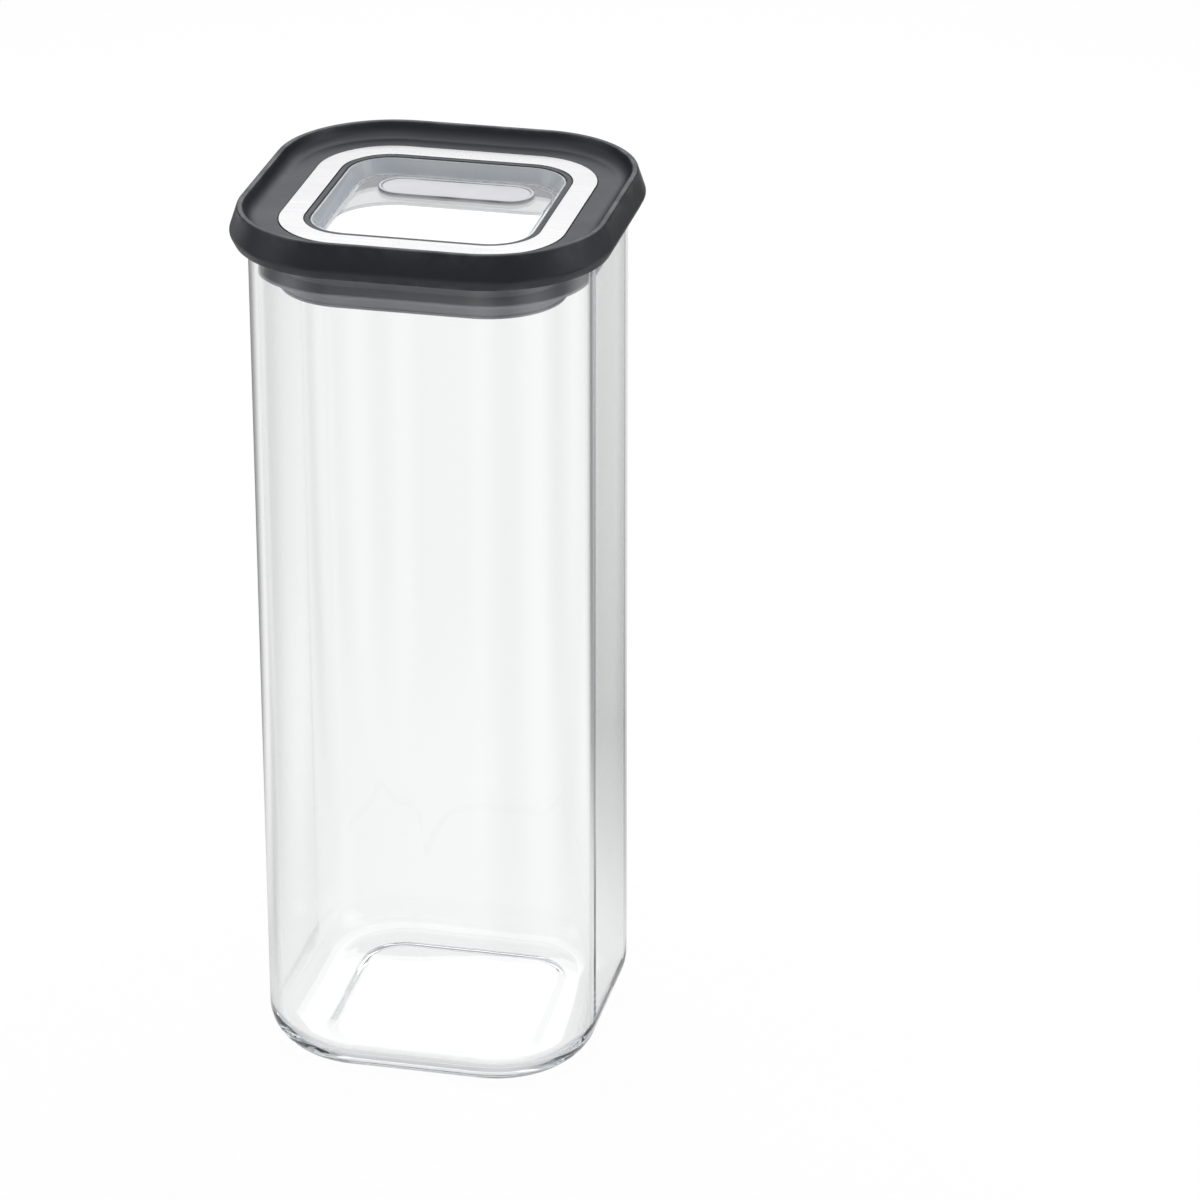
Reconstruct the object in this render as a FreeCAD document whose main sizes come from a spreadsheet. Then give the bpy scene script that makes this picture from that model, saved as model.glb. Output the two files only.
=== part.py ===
import FreeCAD, Part
import math
import os

import Sketcher

# Square glass storage canister with a lift-off lid.
# Origin: centre of the foot, on the surface that the jar stands on; +Z up, the writing field towards +Y.
# Every outline seen from above is a rounded square, and all of them share the jar's four corner centres.

SIZES = {
    # Jar
    "glass_width": 100.0,
    "glass_corner": 30.5,
    "glass_height": 258.0,
    "glass_wall": 2.4,
    "glass_base": 4.0,
    "foot_round": 12.0,
    "heel_bevel": 6.5,
    "foot_band": 5.0,
    "push_up": 0.8,
    "push_up_run": 3.0,
    "mouth_bevel": 0.6,
    # Lid shell
    "skirt_gap": 0.9,
    "skirt_flare": 1.6,
    "skirt_wall": 2.7,
    "skirt_reach": 2.7,
    "skirt_tuck": 3.0,
    "hem_wall": 1.2,
    "rim_overhang": 2.8,
    "rim_wall": 2.0,
    "rim_bevel": 0.5,
    "dish_depth": 4.3,
    "dish_draft": 1.1,
    "dish_bevel": 1.6,
    "dish_band": 8.35,
    "seat_web": 1.6,
    "lip_width": 1.6,
    "lip_thickness": 0.9,
    # Steel trim ring
    "ring_band": 7.1,
    "ring_thickness": 0.8,
    "ring_stand": 0.2,
    "ring_gap": 0.15,
    # Window and its gasket
    "window_gap": 0.1,
    "window_drop": 0.2,
    "window_edge": 0.7,
    "window_slope": 2.4,
    "window_depth": 4.5,
    "window_floor": 1.8,
    "window_flange": 4.0,
    "window_flange_thickness": 1.5,
    "gasket_thickness": 0.8,
    "gasket_width": 3.2,
    "gasket_stem": 0.75,
    "gasket_fit": 0.1,
    # Writing field
    "label_side_margin": 6.15,
    "label_back_margin": 2.65,
    "label_width": 14.0,
    "label_thickness": 0.6,
    "label_border": 1.0,
    "label_sink": 0.2,
    # Seal collar
    "collar_wall": 1.6,
    "shelf_thickness": 1.6,
    "shelf_gap": 0.7,
    # Silicone seal
    "seal_clearance": 6.2,
    "seal_sleeve": 1.3,
    "seal_hook": 1.1,
    "seal_fit": 0.1,
    "seal_flange": 1.0,
    "seal_flange_inset": 0.6,
    "sleeve_reach": 5.3,
    "wiper_gap": 0.3,
    "wiper_thickness": 1.0,
    "wiper_headroom": 9.2,
    # A round or bevel takes at most this share of the wall or corner that it is on
    "edge_limit_share": 0.48,
}

PLACE_TOLERANCE_SHARE = 1e-6

doc = FreeCAD.newDocument("storage_canister")
sheet = doc.addObject("Spreadsheet::Sheet", "sizes")
for row, (alias, size) in enumerate(SIZES.items(), start=1):
    sheet.set(f"A{row}", alias)
    sheet.set(f"B{row}", str(size))
    sheet.setAlias(f"B{row}", alias)
doc.recompute()


def named(expression):
    """Put the sheet's name before each size in a sum and bracket the result."""
    words = expression.replace("(", " ( ").replace(")", " ) ").split()
    return "(" + " ".join(f"sizes.{word}" if word in SIZES else word for word in words) + ")"


def value(expression):
    """Work out a sum of sizes as a number of millimetres."""
    return float(sheet.evalExpression(expression))


# Half widths, measured from the centre to a straight side.
GLASS_OUT = named("glass_width / 2")
CORNER = f"({GLASS_OUT} - sizes.glass_corner)"
GLASS_IN = f"({GLASS_OUT} - sizes.glass_wall)"
SKIRT_IN = f"({GLASS_OUT} + sizes.skirt_gap)"
HEM_IN = f"({SKIRT_IN} + sizes.skirt_flare)"
HEM_OUT = f"({HEM_IN} + sizes.hem_wall)"
SKIRT_OUT = f"({HEM_IN} + sizes.skirt_wall)"
RIM_OUT = f"({GLASS_OUT} + sizes.rim_overhang)"
RIM_IN = f"({RIM_OUT} - sizes.rim_wall)"
DISH_FOOT = f"({RIM_IN} - sizes.dish_draft)"
SEAT_OUT = f"({DISH_FOOT} - sizes.dish_band)"
RING_OUT = f"({SEAT_OUT} - sizes.ring_gap)"
RING_IN = f"({RING_OUT} - sizes.ring_band)"
SEAT_IN = f"({RING_IN} - sizes.ring_gap)"
OPENING = f"({SEAT_IN} - sizes.lip_width)"
STEM_OUT = f"({OPENING} + sizes.gasket_stem)"
WINDOW_OUT = f"({OPENING} - sizes.window_gap)"
WINDOW_MOUTH = f"({WINDOW_OUT} - sizes.window_edge)"
WINDOW_GROUND = f"({WINDOW_MOUTH} - sizes.window_slope)"
SEAL_OUT = f"({GLASS_IN} - sizes.seal_clearance)"
SEAL_IN = f"({SEAL_OUT} - sizes.seal_sleeve)"
COLLAR_OUT = f"({SEAL_IN} - sizes.seal_fit)"
COLLAR_IN = f"({COLLAR_OUT} - sizes.collar_wall)"

# Heights above the surface that the jar stands on.
MOUTH = named("glass_height")
UNDERSIDE = f"({MOUTH} + sizes.seal_flange)"
SEAT = f"({UNDERSIDE} + sizes.seat_web)"
RING_TOP = f"({SEAT} + sizes.ring_thickness)"
DISH = f"({RING_TOP} - sizes.ring_stand)"
TOP = f"({DISH} + sizes.dish_depth)"
HEM = f"({MOUTH} - sizes.skirt_reach)"
WINDOW_TOP = f"({DISH} - sizes.window_drop)"
WINDOW_FLOOR = f"({DISH} - sizes.window_depth)"
WINDOW_LOW = f"({WINDOW_FLOOR} - sizes.window_floor)"
FLANGE_TOP = f"({UNDERSIDE} - sizes.gasket_thickness)"
SHELF = f"({FLANGE_TOP} - sizes.window_flange_thickness)"
LIP_LOW = f"({DISH} - sizes.lip_thickness)"
WIPER_TOP = f"({MOUTH} - sizes.wiper_headroom)"
WIPER_LOW = f"({WIPER_TOP} - sizes.wiper_thickness)"
SEAL_LOW = f"({WIPER_LOW} - sizes.sleeve_reach)"
COLLAR_LOW = f"({SEAL_LOW} + sizes.seal_hook)"


def new_body(label):
    """Start a sub-part whose label names its file."""
    body = doc.addObject("PartDesign::Body", label)
    body.Label = label
    return body


def new_sketch(body, name, role="XY_Plane", offset="0"):
    """Attach a sketch to one of the body's own origin planes, moved along its normal."""
    sketch = body.newObject("Sketcher::SketchObject", name)
    plane = next(item for item in body.Origin.OriginFeatures if item.Role == role)
    sketch.AttachmentSupport = [(plane, "")]
    sketch.MapMode = "FlatFace"
    sketch.setExpression("AttachmentOffset.Base.z", offset)
    return sketch


def bind(sketch, kind, *places, to):
    """Add a dimension that follows a sum of sizes."""
    index = sketch.addConstraint(Sketcher.Constraint(kind, *places, value(to)))
    sketch.setExpression(f"Constraints[{index}]", to)


def pin_point(sketch, geometry, point, across, along):
    """Dimension a point from the sketch's origin."""
    bind(sketch, "DistanceX", -1, 1, geometry, point, to=across)
    bind(sketch, "DistanceY", -1, 1, geometry, point, to=along)


def draw_rounded_square(sketch, half):
    """Draw a square of the given half width round the shared corner centres."""
    side = value(half)
    centre = value(CORNER)
    axis = FreeCAD.Vector(0, 0, 1)
    lines = []
    arcs = []
    for quarter in range(4):
        turn = FreeCAD.Rotation(axis, 90 * quarter)
        start = turn.multVec(FreeCAD.Vector(side, -centre, 0))
        end = turn.multVec(FreeCAD.Vector(side, centre, 0))
        circle = Part.Circle(turn.multVec(FreeCAD.Vector(centre, centre, 0)), axis, side - centre)
        first = quarter * math.pi / 2
        lines.append(sketch.addGeometry(Part.LineSegment(start, end)))
        arcs.append(sketch.addGeometry(Part.ArcOfCircle(circle, first, first + math.pi / 2)))
    for quarter in range(4):
        following = lines[(quarter + 1) % 4]
        sketch.addConstraint(Sketcher.Constraint("Tangent", lines[quarter], 2, arcs[quarter], 1))
        sketch.addConstraint(Sketcher.Constraint("Tangent", arcs[quarter], 2, following, 1))
    for arc in arcs[1:]:
        sketch.addConstraint(Sketcher.Constraint("Equal", arcs[0], arc))
    bind(sketch, "Radius", arcs[0], to=f"{half} - {CORNER}")
    for arc, (across, along) in zip(arcs, ((1, 1), (-1, 1), (-1, -1), (1, -1))):
        pin_point(sketch, arc, 3, f"{across} * {CORNER}", f"{along} * {CORNER}")


def draw_polygon(sketch, points):
    """Draw a closed outline through points given as pairs of sums."""
    corners = [FreeCAD.Vector(value(across), value(along), 0) for across, along in points]
    following = corners[1:] + corners[:1]
    lines = [sketch.addGeometry(Part.LineSegment(a, b)) for a, b in zip(corners, following)]
    for line, after in zip(lines, lines[1:] + lines[:1]):
        sketch.addConstraint(Sketcher.Constraint("Coincident", line, 2, after, 1))
    for line, (across, along) in zip(lines, points):
        pin_point(sketch, line, 1, across, along)


def draw_pill(sketch, length, width, offset):
    """Draw a field with round ends, its long axis along X."""
    reach = value(f"({length} - {width}) / 2")
    radius = value(f"{width} / 2")
    middle = value(offset)
    axis = FreeCAD.Vector(0, 0, 1)
    right = Part.Circle(FreeCAD.Vector(reach, middle, 0), axis, radius)
    left = Part.Circle(FreeCAD.Vector(-reach, middle, 0), axis, radius)
    far = [FreeCAD.Vector(across, middle + radius, 0) for across in (reach, -reach)]
    near = [FreeCAD.Vector(across, middle - radius, 0) for across in (-reach, reach)]
    right_end = sketch.addGeometry(Part.ArcOfCircle(right, -math.pi / 2, math.pi / 2))
    far_side = sketch.addGeometry(Part.LineSegment(*far))
    left_end = sketch.addGeometry(Part.ArcOfCircle(left, math.pi / 2, math.pi * 3 / 2))
    near_side = sketch.addGeometry(Part.LineSegment(*near))
    loop = [right_end, far_side, left_end, near_side]
    for part, after in zip(loop, loop[1:] + loop[:1]):
        sketch.addConstraint(Sketcher.Constraint("Tangent", part, 2, after, 1))
    sketch.addConstraint(Sketcher.Constraint("Equal", right_end, left_end))
    bind(sketch, "Radius", right_end, to=f"{width} / 2")
    pin_point(sketch, right_end, 3, f"({length} - {width}) / 2", offset)
    pin_point(sketch, left_end, 3, f"-({length} - {width}) / 2", offset)


def add_feature(body, kind, name, profile, length):
    """Add a pad or pocket of a sketch, with a length that follows a sum."""
    feature = body.newObject(f"PartDesign::{kind}", name)
    feature.Profile = profile
    feature.setExpression("Length", length)
    doc.recompute()
    return feature


def add_loft(body, kind, name, first, last):
    """Add or cut a straight-sided form between two sketches."""
    feature = body.newObject(f"PartDesign::{kind}", name)
    feature.Profile = first
    feature.Sections = [last]
    feature.Ruled = True
    doc.recompute()
    return feature


def sweep_profile(body, points, half):
    """Carry a section round a rounded square, from the end of one straight side."""
    path = new_sketch(body, f"{body.Label}_path")
    draw_rounded_square(path, half)
    section = new_sketch(body, f"{body.Label}_section", "XZ_Plane", CORNER)
    draw_polygon(section, points)
    doc.recompute()
    sweep = body.newObject("PartDesign::AdditivePipe", f"{body.Label}_sweep")
    sweep.Profile = section
    sweep.Spine = (path, [f"Edge{index}" for index in range(1, len(path.Shape.Edges) + 1)])
    doc.recompute()
    return sweep


def half_width(point):
    """Measure how far out a point lies on the family of rounded squares."""
    centre = value(CORNER)
    across = abs(point.x) - centre
    along = abs(point.y) - centre
    if across > 0 and along > 0:
        return centre + (across**2 + along**2) ** 0.5
    return centre + max(across, along)


def pick_loops(base, loops):
    """List the edges of whole loops, each loop named by its half width and its height."""
    wanted = [(value(half), value(height)) for half, height in loops]
    near = PLACE_TOLERANCE_SHARE * value(MOUTH)
    edges = []
    for index, edge in enumerate(base.Shape.Edges, start=1):
        middle = edge.valueAt((edge.FirstParameter + edge.LastParameter) / 2)
        for half, height in wanted:
            level = all(abs(v.Point.z - height) < near for v in edge.Vertexes)
            if level and abs(half_width(middle) - half) < near:
                edges.append(f"Edge{index}")
    if not edges:
        raise RuntimeError(f"no edge of {base.Name} lies at {wanted}")
    return edges


def round_edges(body, base, name, radius, wall, loops):
    """Round loops of edges, with a radius that their wall limits."""
    feature = body.newObject("PartDesign::Fillet", name)
    feature.Base = (base, pick_loops(base, loops))
    feature.setExpression("Radius", f"min({radius}; {wall} * sizes.edge_limit_share)")
    doc.recompute()
    return feature


def break_edges(body, base, name, width, wall, loops):
    """Bevel loops of edges, with a width that their wall limits."""
    feature = body.newObject("PartDesign::Chamfer", name)
    feature.Base = (base, pick_loops(base, loops))
    feature.setExpression("Size", f"min({width}; {wall} * sizes.edge_limit_share)")
    doc.recompute()
    return feature


def build_glass_jar():
    """Thick-bottomed jar with a wide round at the foot and a shallow push-up beneath."""
    body = new_body("glass_jar")
    outline = new_sketch(body, "jar_outline")
    draw_rounded_square(outline, GLASS_OUT)
    blank = add_feature(body, "Pad", "jar_blank", outline, MOUTH)
    bore = new_sketch(body, "jar_bore", offset=MOUTH)
    draw_rounded_square(bore, GLASS_IN)
    inside = add_feature(body, "Pocket", "jar_inside", bore, named("glass_height - glass_base"))
    if inside.Shape.Volume >= blank.Shape.Volume:
        raise RuntimeError("the jar's inside was not cut")
    corner = "sizes.glass_corner"
    wall = "sizes.glass_wall"
    ground = [(GLASS_IN, "sizes.glass_base")]
    heel = break_edges(body, inside, "jar_heel", "sizes.heel_bevel", corner, ground)
    foot = round_edges(body, heel, "jar_foot", "sizes.foot_round", corner, [(GLASS_OUT, "0")])
    mouth_edges = [(GLASS_OUT, MOUTH), (GLASS_IN, MOUTH)]
    mouth = break_edges(body, foot, "jar_mouth", "sizes.mouth_bevel", wall, mouth_edges)
    foot_inner = f"({GLASS_OUT} - sizes.foot_round - sizes.foot_band)"
    base = new_sketch(body, "push_up_base")
    draw_rounded_square(base, foot_inner)
    crown = new_sketch(body, "push_up_crown", offset="sizes.push_up")
    draw_rounded_square(crown, f"{foot_inner} - sizes.push_up_run")
    hollow = add_loft(body, "SubtractiveLoft", "push_up", base, crown)
    if hollow.Shape.Volume >= mouth.Shape.Volume:
        raise RuntimeError("the push-up was not cut")
    return body


def build_lid_shell():
    """Moulded frame: tucked skirt, standing rim, stacking dish, ring seat and lip round the window."""
    body = new_body("lid_shell")
    recess = f"({STEM_OUT} + sizes.gasket_fit)"
    section = [
        (HEM_OUT, HEM),
        (SKIRT_OUT, f"{HEM} + sizes.skirt_tuck"),
        (RIM_OUT, TOP),
        (RIM_IN, TOP),
        (DISH_FOOT, DISH),
        (SEAT_OUT, DISH),
        (SEAT_OUT, SEAT),
        (SEAT_IN, SEAT),
        (SEAT_IN, DISH),
        (OPENING, DISH),
        (OPENING, LIP_LOW),
        (recess, LIP_LOW),
        (recess, UNDERSIDE),
        (SKIRT_IN, UNDERSIDE),
        (HEM_IN, HEM),
    ]
    frame = sweep_profile(body, section, GLASS_OUT)
    rim_edges = [(RIM_OUT, TOP), (RIM_IN, TOP)]
    rim = break_edges(body, frame, "shell_rim", "sizes.rim_bevel", "sizes.rim_wall", rim_edges)
    foot = [(DISH_FOOT, DISH)]
    break_edges(body, rim, "shell_dish", "sizes.dish_bevel", "sizes.dish_band", foot)
    return body


def build_steel_trim_ring():
    """Flat steel frame bonded into the seat round the window."""
    body = new_body("steel_trim_ring")
    section = [(RING_OUT, SEAT), (RING_OUT, RING_TOP), (RING_IN, RING_TOP), (RING_IN, SEAT)]
    sweep_profile(body, section, RING_OUT)
    return body


def build_window_dish():
    """Clear tray with a sloping wall and a flange that is clamped under the shell."""
    body = new_body("window_dish")
    outline = new_sketch(body, "window_outline", offset=WINDOW_LOW)
    draw_rounded_square(outline, WINDOW_OUT)
    add_feature(body, "Pad", "window_blank", outline, f"{WINDOW_TOP} - {WINDOW_LOW}")
    rim = new_sketch(body, "window_flange_outline", offset=SHELF)
    draw_rounded_square(rim, f"{WINDOW_OUT} + sizes.window_flange")
    flange = add_feature(body, "Pad", "window_flange_pad", rim, "sizes.window_flange_thickness")
    mouth = new_sketch(body, "window_mouth", offset=WINDOW_TOP)
    draw_rounded_square(mouth, WINDOW_MOUTH)
    ground = new_sketch(body, "window_ground", offset=WINDOW_FLOOR)
    draw_rounded_square(ground, WINDOW_GROUND)
    tray = add_loft(body, "SubtractiveLoft", "window_tray", mouth, ground)
    if tray.Shape.Volume >= flange.Shape.Volume:
        raise RuntimeError("the window's tray was not cut")
    return body


def build_window_gasket():
    """Elastomer angle: its foot seals the window's flange and its stem lines the opening."""
    body = new_body("window_gasket")
    outer = f"({OPENING} + sizes.gasket_width)"
    stem_top = f"{LIP_LOW} - sizes.gasket_fit"
    section = [
        (outer, FLANGE_TOP),
        (outer, UNDERSIDE),
        (STEM_OUT, UNDERSIDE),
        (STEM_OUT, stem_top),
        (OPENING, stem_top),
        (OPENING, FLANGE_TOP),
    ]
    sweep_profile(body, section, outer)
    return body


def build_label_field():
    """Bare frosted writing field with a raised border, on the window's floor near its far side."""
    body = new_body("label_field")
    length = f"2 * ({WINDOW_GROUND} - sizes.label_side_margin)"
    width = "sizes.label_width"
    middle = f"{WINDOW_GROUND} - sizes.label_back_margin - sizes.label_width / 2"
    outline = new_sketch(body, "label_outline", offset=WINDOW_FLOOR)
    draw_pill(outline, length, width, middle)
    plate = add_feature(body, "Pad", "label_plate", outline, "sizes.label_thickness")
    field = new_sketch(body, "label_inner", offset=f"{WINDOW_FLOOR} + sizes.label_thickness")
    border = "2 * sizes.label_border"
    draw_pill(field, f"({length} - {border})", f"({width} - {border})", middle)
    sunk = add_feature(body, "Pocket", "label_sunk_field", field, "sizes.label_sink")
    if sunk.Shape.Volume >= plate.Shape.Volume:
        raise RuntimeError("the writing field was not sunk")
    return body


def build_seal_collar():
    """Plug ring under the shell, with a shelf that clamps the window."""
    body = new_body("seal_collar")
    shelf_in = f"{WINDOW_OUT} + sizes.shelf_gap"
    shelf_low = f"{SHELF} - sizes.shelf_thickness"
    section = [
        (shelf_in, shelf_low),
        (COLLAR_IN, shelf_low),
        (COLLAR_IN, COLLAR_LOW),
        (COLLAR_OUT, COLLAR_LOW),
        (COLLAR_OUT, UNDERSIDE),
        (COLLAR_IN, UNDERSIDE),
        (COLLAR_IN, SHELF),
        (shelf_in, SHELF),
    ]
    sweep_profile(body, section, COLLAR_OUT)
    return body


def build_silicone_seal():
    """Sleeve hooked under the collar, with a wiping lip and a flange that rests on the jar's mouth."""
    body = new_body("silicone_seal")
    tip = f"{GLASS_IN} - sizes.wiper_gap"
    flange = f"{GLASS_OUT} - sizes.seal_flange_inset"
    section = [
        (COLLAR_IN, SEAL_LOW),
        (SEAL_OUT, SEAL_LOW),
        (SEAL_OUT, WIPER_LOW),
        (tip, WIPER_LOW),
        (tip, WIPER_TOP),
        (SEAL_OUT, WIPER_TOP),
        (SEAL_OUT, MOUTH),
        (flange, MOUTH),
        (flange, UNDERSIDE),
        (SEAL_IN, UNDERSIDE),
        (SEAL_IN, COLLAR_LOW),
        (COLLAR_IN, COLLAR_LOW),
    ]
    sweep_profile(body, section, SEAL_OUT)
    return body


def write_parts(bodies):
    """Check the document, then write one file per sub-part."""
    doc.recompute()
    for item in doc.Objects:
        if "Invalid" in item.State or "Error" in item.State:
            raise RuntimeError(f"{item.Label} failed: {item.State}")
    for body in bodies:
        if body.Shape.isNull() or not body.Shape.isValid():
            raise RuntimeError(f"{body.Label} has no valid shape")
    os.makedirs("parts", exist_ok=True)
    for body in bodies:
        body.Shape.exportStep(f"parts/{body.Label}.step")
        print(body.Label, len(body.Shape.Solids), round(body.Shape.Volume), "mm3")


write_parts(
    [
        build_glass_jar(),
        build_lid_shell(),
        build_steel_trim_ring(),
        build_window_dish(),
        build_window_gasket(),
        build_label_field(),
        build_seal_collar(),
        build_silicone_seal(),
    ]
)
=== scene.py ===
"""Looks of a square glass storage canister with a lift-off sealing lid.

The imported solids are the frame. Each piece here is modelled in millimetres on the same origin,
the centre of the foot with +Z up, and takes the place of one solid.
"""

import logging
import math
from abc import ABC, abstractmethod
from collections.abc import Callable
from dataclasses import dataclass, field
from enum import Enum
from functools import cache

import bmesh
import bpy
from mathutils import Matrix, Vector


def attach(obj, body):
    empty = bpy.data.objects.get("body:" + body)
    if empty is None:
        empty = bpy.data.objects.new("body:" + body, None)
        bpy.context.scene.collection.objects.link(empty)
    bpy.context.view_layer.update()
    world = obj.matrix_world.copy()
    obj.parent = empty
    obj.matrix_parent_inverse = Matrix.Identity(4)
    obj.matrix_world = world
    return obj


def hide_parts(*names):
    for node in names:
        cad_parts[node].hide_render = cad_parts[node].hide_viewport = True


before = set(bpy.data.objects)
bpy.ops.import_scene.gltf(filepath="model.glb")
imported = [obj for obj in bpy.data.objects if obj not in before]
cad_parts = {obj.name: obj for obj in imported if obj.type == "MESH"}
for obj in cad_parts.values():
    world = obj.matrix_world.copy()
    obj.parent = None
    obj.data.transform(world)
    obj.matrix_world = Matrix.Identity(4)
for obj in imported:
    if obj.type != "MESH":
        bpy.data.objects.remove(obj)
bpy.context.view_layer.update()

LOG = logging.getLogger("canister")

Colour = Place = Scales = tuple[float, float, float]
Span = tuple[float, float]
Node = bpy.types.Node
Piece = bpy.types.Object
Socket = bpy.types.NodeSocket

# Lengths are in millimetres, apart from the merge and pick distances, which are in metres.
MM = 0.001
CORNER_CENTRE = 19.5
CORNER_STEPS = 28
SIDES = 4
QUARTER = math.pi / 2
MERGE_DISTANCE = 1e-6
PICK_DISTANCE = 2e-6
CONTACT_GAP = 0.03
SMOOTH_ANGLE = math.radians(35.0)
ROUND_PROFILE = 0.5
RUB_LAYER = "rub"

# Ranges of a share, of a cosine and of most of a noise pattern, and an even triple.
UNIT = (0.0, 1.0)
WAVE_RANGE = (-1.0, 1.0)
NOISE_RANGE = (0.3, 0.7)
EVEN = (1.0, 1.0, 1.0)


class Mover(Enum):
    """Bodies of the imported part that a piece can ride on."""

    JAR = "jar"
    LID = "lid"


class Slot(Enum):
    """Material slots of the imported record."""

    GLASS = "jar_glass"
    BLACK = "black_plastic"
    STEEL = "brushed_steel"
    CLEAR = "clear_plastic"
    FILM = "frosted_film"
    MILKY = "milky_plastic"
    SILICONE = "grey_silicone"


@dataclass(frozen=True)
class Corner:
    """One corner of a section, in millimetres.

    Attributes:
        out: Half width of the rounded square that the corner runs along.
        up: Height above the surface that the jar stands on.
        radius: Radius that softens the corner, or 0 for a sharp one.
        rubbed: True where hands and shelves polish the edge.
    """

    out: float
    up: float
    radius: float = 0.0
    rubbed: bool = False

    def place(self) -> Vector:
        """Give the corner's point in the plane that the section is drawn in."""
        return Vector((self.out * MM, -CORNER_CENTRE * MM, self.up * MM))


def half_width(point: Vector) -> float:
    """Measure how far out a point lies on the family of rounded squares.

    Args:
        point: A point in metres.

    Returns:
        The half width in millimetres.
    """
    across = abs(point.x) / MM - CORNER_CENTRE
    along = abs(point.y) / MM - CORNER_CENTRE
    if across > 0 and along > 0:
        return CORNER_CENTRE + math.hypot(across, along)
    return CORNER_CENTRE + max(across, along)


def pick_points(piece: Piece, wanted: Callable[[Vector], bool]) -> None:
    """Select the points of the piece in edit mode that pass a test, and no others.

    Args:
        piece: The object in edit mode.
        wanted: Test on a point's place.
    """
    grid = bmesh.from_edit_mesh(piece.data)
    for vert in grid.verts:
        vert.select = wanted(vert.co)
    grid.select_flush_mode()
    bmesh.update_edit_mesh(piece.data)


def start_piece(name: str, size: float, centre: Vector) -> Piece:
    """Add a plane as the start of a piece and open it in edit mode.

    Args:
        name: The piece's name.
        size: Side of the plane in metres.
        centre: Middle of the plane in metres.

    Returns:
        The new object, with its place in its mesh and all of it selected.
    """
    bpy.ops.object.select_all(action="DESELECT")
    bpy.ops.mesh.primitive_plane_add(size=size, location=centre)
    piece = bpy.context.active_object
    piece.name = name
    piece.data.name = name
    bpy.ops.object.transform_apply(location=True, rotation=True, scale=True)
    bpy.ops.object.mode_set(mode="EDIT")
    bpy.ops.mesh.select_mode(type="VERT")
    bpy.ops.mesh.select_all(action="SELECT")
    return piece


def close_piece(piece: Piece) -> None:
    """Merge seams, turn faces outwards, smooth the shading and leave edit mode.

    Args:
        piece: The object in edit mode.
    """
    bpy.ops.mesh.select_all(action="SELECT")
    bpy.ops.mesh.remove_doubles(threshold=MERGE_DISTANCE)
    bpy.ops.mesh.normals_make_consistent(inside=False)
    bpy.ops.object.mode_set(mode="OBJECT")
    bpy.ops.object.shade_smooth_by_angle(angle=SMOOTH_ANGLE)
    bpy.ops.object.modifier_add(type="WEIGHTED_NORMAL")
    weighting = piece.modifiers[-1]
    weighting.keep_sharp = True
    bpy.ops.object.modifier_apply(modifier=weighting.name)


def round_points(reach: float, steps: int) -> None:
    """Bevel the selected points into arcs.

    Args:
        reach: Distance in metres from each point to the ends of its arc.
        steps: Steps of each arc.
    """
    bpy.ops.mesh.bevel(
        offset_type="ABSOLUTE",
        offset=reach,
        segments=steps,
        profile=ROUND_PROFILE,
        affect="VERTICES",
        clamp_overlap=False,
    )


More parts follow.
